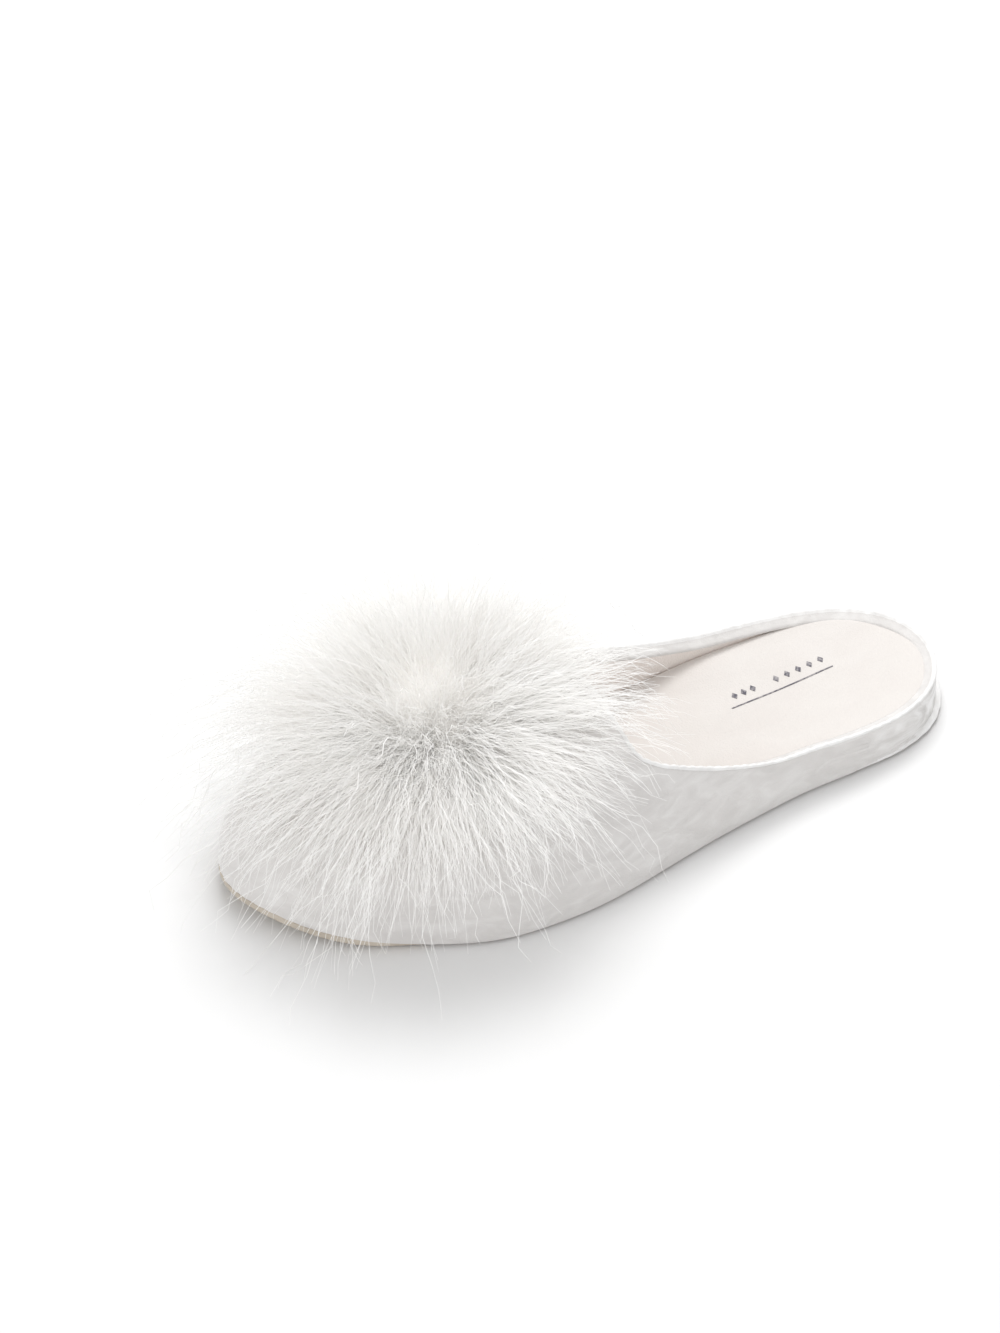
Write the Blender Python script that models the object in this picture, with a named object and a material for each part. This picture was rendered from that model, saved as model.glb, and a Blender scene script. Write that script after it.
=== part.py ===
"""A left house slipper: a low closed-toe velvet mule with a big feather puff on its vamp.

Metres, +Z up. The toe points to -Y, the wearer's outer side is +X, and the origin
lies on the floor under the middle of the sole. Outsole, padded insole, hollow upper
and topline binding all follow one last, a surface given by last_point(), and the puff
sits on the outside of the same last.
"""

import math

import bmesh
import bpy
import numpy as np
from mathutils import Vector
from mathutils.bvhtree import BVHTree

MM = 0.001

# Driving sizes of the slipper
SOLE_LENGTH = 245 * MM
BALL_WIDTH = 94 * MM
HEEL_WIDTH = 62 * MM
INSTEP_HEIGHT = 55 * MM
HEEL_WALL = 15.5 * MM
THROAT_FROM_HEEL = 128 * MM
TOE_SPRING = 5 * MM
TREAD_LENGTH = 176 * MM
UPPER_WALL = 3 * MM
OUTSOLE_THICKNESS = 2.5 * MM
OUTSOLE_EDGE_ROUND = 0.6 * MM
INSOLE_HEEL = 11.5 * MM
INSOLE_EDGE_ROUND = 1.4 * MM
INSOLE_DISH = 0.9 * MM
BINDING_WIDTH = 4.4 * MM
BINDING_HEIGHT = 2.6 * MM
BINDING_SHOULDER = 0.25
SEAT_GAP = 0.3 * MM

# Driving sizes of the feather puff. Its middle lies inside the toe of the last, and all
# its reaches are measured from there
PUFF_FROM_HEEL = 174 * MM
PUFF_MIDDLE_RISE = 5 * MM
PUFF_REACH = 90 * MM
PUFF_CROWN = 30 * MM
PUFF_HOLLOW = 6 * MM
PUFF_SEAT_GAP = 0.95 * MM
PUFF_SEAT_TOE = 42 * MM
PUFF_SEAT_SIDE = 44 * MM
PUFF_SEAT_HEEL = 34 * MM
PUFF_CORE_EDGE = 6 * MM
LOCK_ROOT = 7.5 * MM
LOCK_TIP = 1.8 * MM
LOCK_CLEARANCE = 2.8 * MM

# The last's shape
FULLNESS = 2.35
RIDGE_SHIFT = 0.12
SPINE_REACH = 0.42
TOPLINE_RISE_FROM = 49 * MM
UPPER_FOOT = OUTSOLE_THICKNESS + SEAT_GAP

# Sole outline: share of the length from the heel, then how far the outer and the
# inner edge lie from the centre line, as shares of the local width
OUTLINE = (
    (0.00, -0.040, -0.040),
    (0.03, 0.262, -0.325),
    (0.08, 0.386, -0.460),
    (0.17, 0.460, -0.535),
    (0.30, 0.490, -0.485),
    (0.42, 0.489, -0.365),
    (0.55, 0.513, -0.365),
    (0.64, 0.531, -0.437),
    (0.72, 0.517, -0.479),
    (0.80, 0.447, -0.484),
    (0.88, 0.361, -0.437),
    (0.94, 0.234, -0.337),
    (0.98, 0.091, -0.222),
    (1.00, -0.064, -0.064),
)

# Ridge of the last: share of the length from the heel, share of the instep height
RIDGE = (
    (0.10, 0.96),
    (0.35, 1.00),
    (0.50, 0.99),
    (0.60, 0.93),
    (0.70, 0.82),
    (0.80, 0.67),
    (0.86, 0.58),
)

# Insole thickness: share of the length from the heel, share of the heel thickness
INSOLE_PROFILE = (
    (0.00, 1.00),
    (0.15, 0.98),
    (0.40, 0.84),
    (0.70, 0.55),
    (1.00, 0.50),
)

# Tiers of feather locks, from the crown down: elevation of root and tip in degrees as
# seen from the puff's middle, then shares of the puff's reach: how far the tips reach to
# the side, toe and heel (none where it is 0), and how much the locks bow outwards
LOCK_TIERS = (
    (82, 78, 0.82, 0.82, 0.82, 0.00),
    (74, 62, 0.92, 0.92, 0.88, 0.02),
    (64, 45, 0.97, 1.00, 0.91, 0.04),
    (54, 30, 1.00, 1.05, 0.92, 0.06),
    (44, 16, 1.00, 1.07, 0.00, 0.07),
    (34, 6, 0.98, 1.08, 0.00, 0.06),
    (26, -3, 0.96, 1.05, 0.00, 0.05),
)
LOCK_COUNTS = (4, 8, 12, 15, 15, 15, 15)
LOCK_SIDES = 5
LOCK_STATIONS = 5
LOCK_SWEEP = 1.25
LOCK_TAPER = 2.4
LOWEST_HEELWARD_TIP = math.radians(28)
ROOT_ABOVE_SEAT = math.radians(8)
HEELWARD_BARE = 0.55
TIER_TURN = 0.31
BOW_VARIETY = 0.3

# How finely the curved surfaces are divided
OUTSOLE_COLUMNS = 36
INSOLE_COLUMNS = 40
UPPER_COLUMNS = 38
THROAT_COLUMN = 21
UPPER_LEVELS = 10
BINDING_STEPS = 6
LAST_COLUMNS = 96
LAST_LEVELS = 24
CORE_SEGMENTS = 36
CORE_STEPS = 9

GOLDEN_TURN = math.pi * (3 - math.sqrt(5))


def clear_scene():
    for obj in list(bpy.data.objects):
        bpy.data.objects.remove(obj)


def periodic_cubic(knots, values, period, at):
    """Smooth closed curve through the values at the knots."""
    knots = np.asarray(knots)
    values = np.asarray(values)
    count = len(knots)
    step = np.diff(np.append(knots, knots[0] + period))
    slope = (np.roll(values, -1) - values) / step
    system = np.zeros((count, count))
    for i in range(count):
        system[i, i - 1] += step[i - 1]
        system[i, i] += 2 * (step[i - 1] + step[i])
        system[i, (i + 1) % count] += step[i]
    bend = np.linalg.solve(system, 6 * (slope - np.roll(slope, 1)))
    at = np.mod(at - knots[0], period) + knots[0]
    i = np.searchsorted(knots, at, side="right") - 1
    after = (i + 1) % count
    b = (at - knots[i]) / step[i]
    a = 1 - b
    curve = a * values[i] + b * values[after]
    curve += ((a**3 - a) * bend[i] + (b**3 - b) * bend[after]) * step[i] ** 2 / 6
    return curve


def smooth_table(rows, at):
    """Smooth open curve through rows of (place, value), level beyond its ends."""
    place, value = np.array(rows).T
    slope = np.gradient(value, place)
    slope[0] = slope[-1] = 0
    at = np.clip(at, place[0], place[-1])
    i = np.clip(np.searchsorted(place, at, side="right") - 1, 0, len(place) - 2)
    step = place[i + 1] - place[i]
    t = (at - place[i]) / step
    curve = (1 + 2 * t) * (1 - t) ** 2 * value[i] + t**2 * (3 - 2 * t) * value[i + 1]
    return curve + (t * (1 - t) ** 2 * slope[i] - t**2 * (1 - t) * slope[i + 1]) * step


def share_at(angle):
    """Share of the length from the heel at an angle round the sole: 0 heel, pi toe."""
    return (1 - np.cos(angle)) / 2


def angle_at(share):
    return np.arccos(np.clip(1 - 2 * np.asarray(share), -1, 1))


def local_width(share):
    t = np.clip((share - 0.2) / 0.4, 0, 1)
    return HEEL_WIDTH + (BALL_WIDTH - HEEL_WIDTH) * t * t * (3 - 2 * t)


def outline(angle):
    """Plan point of the sole's edge. Angles under pi run down the outer side."""
    rows = np.array(OUTLINE)
    down = angle_at(rows[:, 0])
    knots = np.append(down, 2 * math.pi - down[-2:0:-1])
    shares = np.append(rows[:, 1], rows[-2:0:-1, 2])
    share = share_at(angle)
    x = periodic_cubic(knots, shares, 2 * math.pi, angle) * local_width(share)
    return np.stack([x, SOLE_LENGTH * (0.5 - share)], axis=-1)


def edge(angle, inset):
    """The outline moved inwards by inset."""
    near = 1e-4
    along = outline(angle + near) - outline(angle - near)
    along /= np.linalg.norm(along, axis=-1, keepdims=True)
    inward = np.stack([along[..., 1], -along[..., 0]], axis=-1)
    return outline(angle) + inward * np.asarray(inset)[..., None]


def spine_share(angle):
    return 0.5 + SPINE_REACH * np.tanh((share_at(angle) - 0.5) / SPINE_REACH)


def spine(angle):
    """Plan point under the last's ridge, drawn in from the heel and toe ends."""
    share = spine_share(angle)
    outer = outline(angle_at(share))
    inner = outline(2 * math.pi - angle_at(share))
    middle = (outer + inner) / 2
    middle[..., 0] -= RIDGE_SHIFT * (outer[..., 0] - inner[..., 0]) / 2
    return middle


def ridge_height(angle):
    return INSTEP_HEIGHT * smooth_table(RIDGE, spine_share(angle))


def toe_lift(y):
    """Rise of the sole towards the toe, from where the flat tread ends."""
    forward = SOLE_LENGTH / 2 - y - TREAD_LENGTH
    run = SOLE_LENGTH - TREAD_LENGTH
    return TOE_SPRING * np.clip(forward / run, 0, 1.2) ** 2


def climb_for(height, angle, inset):
    """How far up the last, 0 at its foot and 1 on its ridge, a height lies."""
    share = np.clip(height / (ridge_height(angle) - inset), 0, 1)
    return np.arcsin(share ** (FULLNESS / 2)) / (math.pi / 2)


def last_point(angle, climb, inset):
    """Point of the last's surface, moved inwards by inset."""
    turn = np.clip(climb, 0, 1) * math.pi / 2
    out = np.cos(turn) ** (2 / FULLNESS)
    up = np.sin(turn) ** (2 / FULLNESS)
    middle = spine(angle)
    plan = middle + (edge(angle, inset) - middle) * out[..., None]
    z = UPPER_FOOT + (ridge_height(angle) - inset) * up + toe_lift(plan[..., 1])
    return np.concatenate([plan, z[..., None]], axis=-1)


def topline_climb(angle):
    """The topline: low round the heel, then rising to the ridge at the throat."""
    from_heel = share_at(angle) * SOLE_LENGTH
    run = THROAT_FROM_HEEL - TOPLINE_RISE_FROM
    rise = np.clip((from_heel - TOPLINE_RISE_FROM) / run, 0, 1) ** 2
    throat = angle_at(THROAT_FROM_HEEL / SOLE_LENGTH)
    height = HEEL_WALL + (ridge_height(throat) - HEEL_WALL) * rise
    climb = climb_for(height, angle, 0)
    return np.where(from_heel >= THROAT_FROM_HEEL * (1 - 1e-9), 1.0, climb)


def both_sides(one_side):
    """Angles of one side, heel to toe, followed by those of the other side back."""
    return np.append(one_side, 2 * math.pi - one_side[-2:0:-1])


def material(name, colour, roughness):
    made = bpy.data.materials.new(name)
    made.use_nodes = True
    shader = made.node_tree.nodes["Principled BSDF"]
    shader.inputs["Base Color"].default_value = (*colour, 1)
    shader.inputs["Roughness"].default_value = roughness
    shader.inputs["Metallic"].default_value = 0
    return made


def add_object(name, vertices, faces, finish):
    """A closed body from points and faces, with its doubles merged and facing out."""
    mesh = bpy.data.meshes.new(name)
    mesh.from_pydata([tuple(v) for v in vertices], [], faces)
    body = bmesh.new()
    body.from_mesh(mesh)
    bmesh.ops.remove_doubles(body, verts=body.verts, dist=1e-6)
    bmesh.ops.dissolve_degenerate(body, edges=body.edges, dist=1e-6)
    bmesh.ops.recalc_face_normals(body, faces=body.faces)
    body.to_mesh(mesh)
    body.free()
    mesh.shade_smooth()
    mesh.set_sharp_from_angle(angle=math.radians(40))
    obj = bpy.data.objects.new(name, mesh)
    bpy.context.scene.collection.objects.link(obj)
    if finish:
        mesh.materials.append(finish)
    return obj


def ring_faces(rings, columns, closed=False):
    """Quads between rows of a ring grid, round and round."""
    faces = []
    pairs = rings if closed else rings - 1
    for r in range(pairs):
        low = r * columns
        high = ((r + 1) % rings) * columns
        for c in range(columns):
            d = (c + 1) % columns
            faces.append((low + c, low + d, high + d, high + c))
    return faces


def drop_thin(faces, vertices):
    """Leaves out faces that collapse to a line where rows meet."""
    kept = []
    for face in faces:
        corners = []
        for index in face:
            point = tuple(np.round(vertices[index], 8))
            if point not in [c[0] for c in corners]:
                corners.append((point, index))
        if len(corners) > 2:
            kept.append(tuple(c[1] for c in corners))
    return kept


def solid_from_rings(name, rings, finish):
    """Skins a stack of rings whose first and last are already drawn in to the spine."""
    columns = len(rings[0])
    vertices = np.vstack(rings)
    faces = ring_faces(len(rings), columns)
    return add_object(name, vertices, drop_thin(faces, vertices), finish)


def outsole(finish):
    """A flat tread sheet with its edge rounded below and its toe sprung up."""
    angles = both_sides(np.linspace(0, math.pi, OUTSOLE_COLUMNS + 1))
    middle = spine(angles)

    def ring(inset, share, height):
        plan = middle + (edge(angles, inset) - middle) * share
        return np.column_stack([plan, toe_lift(plan[:, 1]) + height])

    top = OUTSOLE_THICKNESS
    rings = [
        ring(0, 0, 0),
        ring(OUTSOLE_EDGE_ROUND, 0.55, 0),
        ring(OUTSOLE_EDGE_ROUND, 1, 0),
        ring(0, 1, OUTSOLE_EDGE_ROUND),
        ring(0, 1, top),
        ring(0, 0.55, top),
        ring(0, 0, top),
    ]
    return solid_from_rings("outsole", rings, finish)


def insole_thickness(y):
    return INSOLE_HEEL * smooth_table(INSOLE_PROFILE, 0.5 - y / SOLE_LENGTH)


def insole(finish):
    """A padded footbed that fills the foot of the upper, thickest under the heel."""
    angles = both_sides(np.linspace(0, math.pi, INSOLE_COLUMNS + 1))
    middle = spine(angles)
    inset = UPPER_WALL + SEAT_GAP

    def wall_ring(share):
        height = insole_thickness(outline(angles)[:, 1]) - INSOLE_EDGE_ROUND
        return last_point(angles, climb_for(height * share, angles, inset), inset)

    wall = wall_ring(1)

    def top_ring(share, drop):
        plan = middle + (wall[:, :2] - middle) * share
        dish = INSOLE_DISH * (1 - share**2)
        height = insole_thickness(plan[:, 1]) - dish - drop
        return np.column_stack([plan, UPPER_FOOT + height + toe_lift(plan[:, 1])])

    def foot_ring(share):
        plan = middle + (edge(angles, inset) - middle) * share
        return np.column_stack([plan, UPPER_FOOT + toe_lift(plan[:, 1])])

    shoulder = wall.copy()
    inward = middle - wall[:, :2]
    inward /= np.linalg.norm(inward, axis=1, keepdims=True)
    shoulder[:, :2] += inward * INSOLE_EDGE_ROUND
    plan_y = shoulder[:, 1]
    shoulder[:, 2] = UPPER_FOOT + insole_thickness(plan_y) + toe_lift(plan_y)
    soft = (wall + shoulder) / 2
    soft[:, :2] -= inward * INSOLE_EDGE_ROUND * 0.2
    soft[:, 2] += INSOLE_EDGE_ROUND * 0.2
    rings = [foot_ring(0), foot_ring(0.6), foot_ring(1), wall_ring(0.5), wall, soft]
    rings += [shoulder, top_ring(0.8, 0), top_ring(0.4, 0), top_ring(0, 0)]
    return solid_from_rings("insole", rings, finish)


def upper_columns():
    """Angles at the foot and at the top of each column, for one side, heel to toe."""
    foot = np.linspace(0, math.pi, UPPER_COLUMNS + 1)
    throat_share = THROAT_FROM_HEEL / SOLE_LENGTH
    turn = np.linspace(0, math.pi, THROAT_COLUMN + 1)
    opening = angle_at(throat_share * (1 - np.cos(turn)) / 2)
    closed = np.linspace(angle_at(throat_share), math.pi, UPPER_COLUMNS - THROAT_COLUMN + 1)
    return foot, np.append(opening, closed[1:])


def upper_rings(inset):
    foot, top = upper_columns()
    climb = topline_climb(top)
    climb = np.append(climb, climb[-2:0:-1])
    rings = []
    for level in range(UPPER_LEVELS + 1):
        t = level / UPPER_LEVELS
        angles = both_sides(foot + (top - foot) * t)
        rings.append(last_point(angles, climb * t, inset))
    return rings


def upper(finish):
    """One hollow shell, closed over the toe and open behind the throat."""
    outer = upper_rings(0)
    inner = upper_rings(UPPER_WALL)
    count = len(outer[0])
    levels = len(outer)
    vertices = np.vstack(outer + inner)
    outer_faces = ring_faces(levels, count)
    inner_faces = [tuple(i + levels * count for i in f) for f in outer_faces]
    faces = outer_faces + [f[::-1] for f in inner_faces]
    inner_start = levels * count
    rim = (levels - 1) * count
    for c in range(count):
        d = (c + 1) % count
        faces.append((c, inner_start + c, inner_start + d, d))
        behind_throat = max(min(c, count - c), min(d, count - d)) <= THROAT_COLUMN
        if behind_throat:
            faces.append((rim + c, rim + d, inner_start + rim + d, inner_start + rim + c))
    return add_object("upper", vertices, drop_thin(faces, vertices), finish)


def topline_frames():
    """Outer and inner edge points of the wall's top, right round the opening."""
    _, top = upper_columns()
    half = top[: THROAT_COLUMN + 1]
    climb = topline_climb(half)
    angles = both_sides(half)
    climb = np.append(climb, climb[-2:0:-1])
    return last_point(angles, climb, 0), last_point(angles, climb, UPPER_WALL)


def topline_binding(finish):
    """A padded bead sewn round the topline, flat below and round above."""
    outside, inside = topline_frames()
    centre = (outside + inside) / 2
    across = outside - inside
    across /= np.linalg.norm(across, axis=1, keepdims=True)
    along = np.roll(centre, -1, axis=0) - np.roll(centre, 1, axis=0)
    along /= np.linalg.norm(along, axis=1, keepdims=True)
    away = np.cross(along, across)
    away /= np.linalg.norm(away, axis=1, keepdims=True)
    away *= np.sign(away[0, 2])
    section = [(-1.0, 0.0)]
    for step in range(BINDING_STEPS + 1):
        turn = math.pi * (1 - step / BINDING_STEPS)
        round_up = BINDING_SHOULDER + (1 - BINDING_SHOULDER) * math.sin(turn)
        section.append((math.cos(turn), round_up))
    section.append((1.0, 0.0))
    rings = []
    for side, up in section:
        shift = across * side * BINDING_WIDTH / 2
        rings.append(centre + shift + away * (SEAT_GAP + up * BINDING_HEIGHT))
    count = len(centre)
    faces = ring_faces(len(rings), count, closed=True)
    return add_object("topline_binding", np.vstack(rings), faces, finish)


def filled_last():
    """The whole last as a closed form, for finding its surface from inside."""
    angles = both_sides(np.linspace(0, math.pi, LAST_COLUMNS + 1))
    climbs = np.linspace(0, 1, LAST_LEVELS + 1)
    rings = [last_point(angles, np.full(len(angles), climb), 0) for climb in climbs]
    floor = rings[0].copy()
    floor[:, :2] = spine(angles)
    rings.insert(0, floor)
    vertices = np.vstack(rings)
    faces = drop_thin(ring_faces(len(rings), len(angles)), vertices)
    return BVHTree.FromPolygons([Vector(v) for v in vertices], faces)


def puff_middle():
    angle = angle_at(PUFF_FROM_HEEL / SOLE_LENGTH)
    place = spine(np.array([angle]))[0]
    y = SOLE_LENGTH / 2 - PUFF_FROM_HEEL
    return Vector((place[0], y, UPPER_FOOT + PUFF_MIDDLE_RISE))


def puff_direction(turn, elevation):
    """Unit direction: turn 0 points to the outer side and a quarter turn to the heel."""
    flat = math.cos(elevation)
    return Vector((flat * math.cos(turn), flat * math.sin(turn), math.sin(elevation)))


def side_toe_heel(turn, side, toe, heel):
    """A length that changes smoothly from side to toe or heel as the turn goes round."""
    lengthwise = math.sin(turn)
    end = heel if lengthwise > 0 else toe
    return side + (end - side) * lengthwise**2


class Puff:
    """The puff's shape, as distances from a point inside the toe of the last."""

    def __init__(self):
        self.middle = puff_middle()
        self.last = filled_last()

    def surface(self, turn, elevation):
        ray = puff_direction(turn, elevation)
        hit = self.last.ray_cast(self.middle, ray)[0]
        return (hit - self.middle).length

    def seat_elevation(self, turn):
        """How low the core reaches: where it meets its seat radius in plan."""
        reach = side_toe_heel(turn, PUFF_SEAT_SIDE, PUFF_SEAT_TOE, PUFF_SEAT_HEEL)
        elevation = math.radians(80)
        while elevation > math.radians(8):
            if self.surface(turn, elevation) * math.cos(elevation) >= reach:
                break
            elevation -= math.radians(1)
        return elevation

    def core_height(self, q):
        """Height of the down above the vamp, from the crown at 0 to the seat at 1."""
        dome = (PUFF_CROWN - PUFF_CORE_EDGE) * math.sqrt(1 - q**5)
        hollow = PUFF_HOLLOW * max(0.0, 1 - 2 * q) ** 2
        return PUFF_CORE_EDGE + dome - hollow

    def core(self, name):
        """The down pad that is sewn to the vamp, a low dome on the last."""
        outer = []
        inner = []
        for k in range(1, CORE_STEPS + 1):
            q = k / CORE_STEPS
            for s in range(CORE_SEGMENTS):
                turn = 2 * math.pi * s / CORE_SEGMENTS
                low = self.seat_elevation(turn)
                elevation = math.pi / 2 - q * (math.pi / 2 - low)
                ray = puff_direction(turn, elevation)
                wall = self.surface(turn, elevation)
                outer.append(self.middle + ray * (wall + self.core_height(q)))
                inner.append(self.middle + ray * (wall + PUFF_SEAT_GAP))
        up = Vector((0, 0, 1))
        crown = self.surface(0, math.pi / 2)
        vertices = [self.middle + up * (crown + self.core_height(0)), *outer]
        vertices += [self.middle + up * (crown + PUFF_SEAT_GAP), *inner]
        base = 1 + len(outer)
        faces = []
        for s in range(CORE_SEGMENTS):
            t = (s + 1) % CORE_SEGMENTS
            faces.append((0, 1 + s, 1 + t))
            faces.append((base, base + 1 + t, base + 1 + s))
            for k in range(CORE_STEPS - 1):
                a = 1 + k * CORE_SEGMENTS
                b = a + CORE_SEGMENTS
                faces.append((a + s, b + s, b + t, a + t))
                faces.append((base + a + s, base + a + t, base + b + t, base + b + s))
            last = 1 + (CORE_STEPS - 1) * CORE_SEGMENTS
            faces.append((last + s, base + last + s, base + last + t, last + t))
        return add_object(name, vertices, faces, None)

    def lock(self, turn, tier, bow_scale):
        """Path and thickness of one tapered feather lock, root to tip."""
        root, tip, side, toe, heel, bow = tier
        root = max(math.radians(root), self.seat_elevation(turn) + ROOT_ABOVE_SEAT)
        tip = min(math.radians(tip), root - ROOT_ABOVE_SEAT)
        heelward = max(0.0, math.sin(turn))
        if heelward > 0:
            tip = max(tip, LOWEST_HEELWARD_TIP * heelward**0.5)
        reach = side_toe_heel(turn, side, toe, heel or side) * PUFF_REACH
        start = self.surface(turn, root) + LOCK_ROOT + LOCK_CLEARANCE
        points = []
        widths = []
        for k in range(LOCK_STATIONS):
            t = k / (LOCK_STATIONS - 1)
            elevation = root + (tip - root) * t**LOCK_SWEEP
            width = LOCK_ROOT + (LOCK_TIP - LOCK_ROOT) * t**LOCK_TAPER
            distance = start + (reach - start) * t
            distance += bow * bow_scale * PUFF_REACH * math.sin(math.pi * t)
            nearest = self.surface(turn, elevation) + width + LOCK_CLEARANCE
            distance = max(distance, nearest)
            points.append(self.middle + puff_direction(turn, elevation) * distance)
            widths.append(width)
        return points, widths


def lock_mesh(points, widths, vertices, faces):
    """A many-sided tapered rod along the points."""
    base = len(vertices)
    for k, (point, width) in enumerate(zip(points, widths)):
        before = points[max(k - 1, 0)]
        after = points[min(k + 1, len(points) - 1)]
        along = (after - before).normalized()
        across = along.cross(Vector((0, 0, 1))).normalized()
        up = across.cross(along)
        for s in range(LOCK_SIDES):
            turn = 2 * math.pi * s / LOCK_SIDES
            vertices.append(point + (across * math.cos(turn) + up * math.sin(turn)) * width)
    for k in range(len(points) - 1):
        for s in range(LOCK_SIDES):
            t = (s + 1) % LOCK_SIDES
            low = base + k * LOCK_SIDES
            high = low + LOCK_SIDES
            faces.append((low + s, low + t, high + t, high + s))
    faces.append(tuple(base + s for s in reversed(range(LOCK_SIDES))))
    top = base + (len(points) - 1) * LOCK_SIDES
    faces.append(tuple(top + s for s in range(LOCK_SIDES)))


def feather_pompom(finish):
    """The puff: a down core on the vamp with tapered feather locks fused all over it."""
    puff = Puff()
    body = puff.core("feather_pompom")
    body.data.materials.append(finish)
    vertices = []
    faces = []
    number = 0
    for row, (tier, count) in enumerate(zip(LOCK_TIERS, LOCK_COUNTS)):
        reaches_heelward = tier[4] > 0
        for i in range(count):
            turn = 2 * math.pi * i / count + row * TIER_TURN
            number += 1
            if not reaches_heelward and math.sin(turn) > HEELWARD_BARE:
                continue
            bow_scale = 1 + BOW_VARIETY * math.sin(number * GOLDEN_TURN)
            points, widths = puff.lock(turn, tier, bow_scale)
            lock_mesh(points, widths, vertices, faces)
    locks = add_object("feather_locks", vertices, faces, None)
    locks.hide_render = True
    locks.display_type = "WIRE"
    join = body.modifiers.new("Fuse locks", "BOOLEAN")
    join.operation = "UNION"
    join.object = locks
    join.use_self = True
    return body


def main():
    clear_scene()
    outsole(material("outsole", (0.62, 0.56, 0.47), 0.85))
    insole(material("insole", (0.90, 0.86, 0.80), 0.95))
    upper(material("velvet", (0.76, 0.74, 0.72), 0.80))
    topline_binding(material("binding", (0.86, 0.84, 0.82), 0.75))
    feather_pompom(material("feathers", (0.93, 0.91, 0.89), 0.70))


main()
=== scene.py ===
"""Looks of the left house slipper: crushed velvet shell, velour footbed and feather puff.

Every size is in metres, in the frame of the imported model: toe to -Y, outer side to +X,
floor at z = 0. The velvet, lining, footbed, rim and sole are drawn again, finer, over the
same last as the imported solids, and the puff is grown as strands from the vamp.
"""

import math
from collections import namedtuple

import bmesh
import bpy
import numpy as np
from mathutils import Matrix, Vector
from mathutils.bvhtree import BVHTree


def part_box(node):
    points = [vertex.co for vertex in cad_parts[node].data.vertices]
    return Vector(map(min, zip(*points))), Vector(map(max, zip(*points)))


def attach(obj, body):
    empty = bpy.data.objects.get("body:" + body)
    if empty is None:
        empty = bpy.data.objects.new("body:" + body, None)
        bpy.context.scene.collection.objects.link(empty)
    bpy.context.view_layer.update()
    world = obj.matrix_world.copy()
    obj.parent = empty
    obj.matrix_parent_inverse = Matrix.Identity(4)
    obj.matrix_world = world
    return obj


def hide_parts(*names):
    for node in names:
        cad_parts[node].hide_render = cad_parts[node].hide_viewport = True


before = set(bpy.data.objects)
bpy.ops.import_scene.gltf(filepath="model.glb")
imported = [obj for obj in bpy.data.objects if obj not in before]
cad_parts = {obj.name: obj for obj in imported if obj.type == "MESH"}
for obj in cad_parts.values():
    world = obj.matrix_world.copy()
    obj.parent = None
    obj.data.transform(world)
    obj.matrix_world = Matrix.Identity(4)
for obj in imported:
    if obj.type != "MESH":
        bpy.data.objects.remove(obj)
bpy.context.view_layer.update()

MM = 0.001
TURN = 2 * math.pi
GOLDEN_ANGLE = math.pi * (3 - math.sqrt(5))

# The shoe's own sizes, the length taken from the frame
UPPER_LOW, UPPER_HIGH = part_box("upper")
SOLE_LENGTH = UPPER_HIGH.y - UPPER_LOW.y
BALL_WIDTH = 94 * MM
HEEL_WIDTH = 62 * MM
INSTEP_HEIGHT = 55 * MM
THROAT_FROM_HEEL = 128 * MM
TOE_SPRING = 5 * MM
TREAD_LENGTH = 176 * MM
UPPER_WALL = 3 * MM
SOLE_THICKNESS = 2.5 * MM
UPPER_FOOT = UPPER_LOW.z
FOOTBED_HEEL = 11.2 * MM

# The last's form: fullness of its section, shift of its ridge towards the inner side as a
# share of the half width, and how far the ridge reaches as a share of the length
FULLNESS = 2.35
RIDGE_SHIFT = 0.12
SPINE_REACH = 0.42

# Share of the length over which the sole widens from the heel's to the ball's width
WIDENING_FROM = 0.2
WIDENING_SHARE = 0.4

# Sole outline: share of the length from the heel, outer and inner edge as shares of
# the local width
OUTLINE = (
    (0.00, -0.040, -0.040), (0.03, 0.262, -0.325), (0.08, 0.386, -0.460), (0.17, 0.460, -0.535),
    (0.30, 0.490, -0.485), (0.42, 0.489, -0.365), (0.55, 0.513, -0.365), (0.64, 0.531, -0.437),
    (0.72, 0.517, -0.479), (0.80, 0.447, -0.484), (0.88, 0.361, -0.437), (0.94, 0.234, -0.337),
    (0.98, 0.091, -0.222), (1.00, -0.064, -0.064),
)

# Ridge of the last: share of the length from the heel, share of the instep height
RIDGE = (
    (0.10, 0.96), (0.35, 1.00), (0.50, 0.99), (0.60, 0.93), (0.70, 0.82), (0.80, 0.67), (0.86, 0.58),
)

# Footbed thickness: share of the length from the heel, share of the heel thickness
FOOTBED_PROFILE = ((0.00, 1.00), (0.15, 0.98), (0.40, 0.84), (0.70, 0.55), (1.00, 0.50))

# Topline: distance from the heel, height over the upper's foot, both in millimetres
TOPLINE = (
    (0, 11.6), (30, 11.8), (45, 12.8), (56, 14.0), (70, 16.0), (87, 22.0), (100, 28.0),
    (108, 32.2), (116, 36.8), (122, 42.0), (128, 53.9),
)

# Camera: how the photograph looks at the shoe
VIEW_AZIMUTH = math.radians(64.80)
VIEW_ELEVATION = math.radians(43.27)
VIEW_DISTANCE = 2.6
VIEW_TARGET = Vector((0, 0, 0.020))
PHOTO_HEIGHT = 1333
FOCAL_PIXELS = 8240.8
SENSOR = 36.0
VIEW_RIGHT = 27.36 * MM
VIEW_UP = 25.48 * MM


# The last


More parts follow.
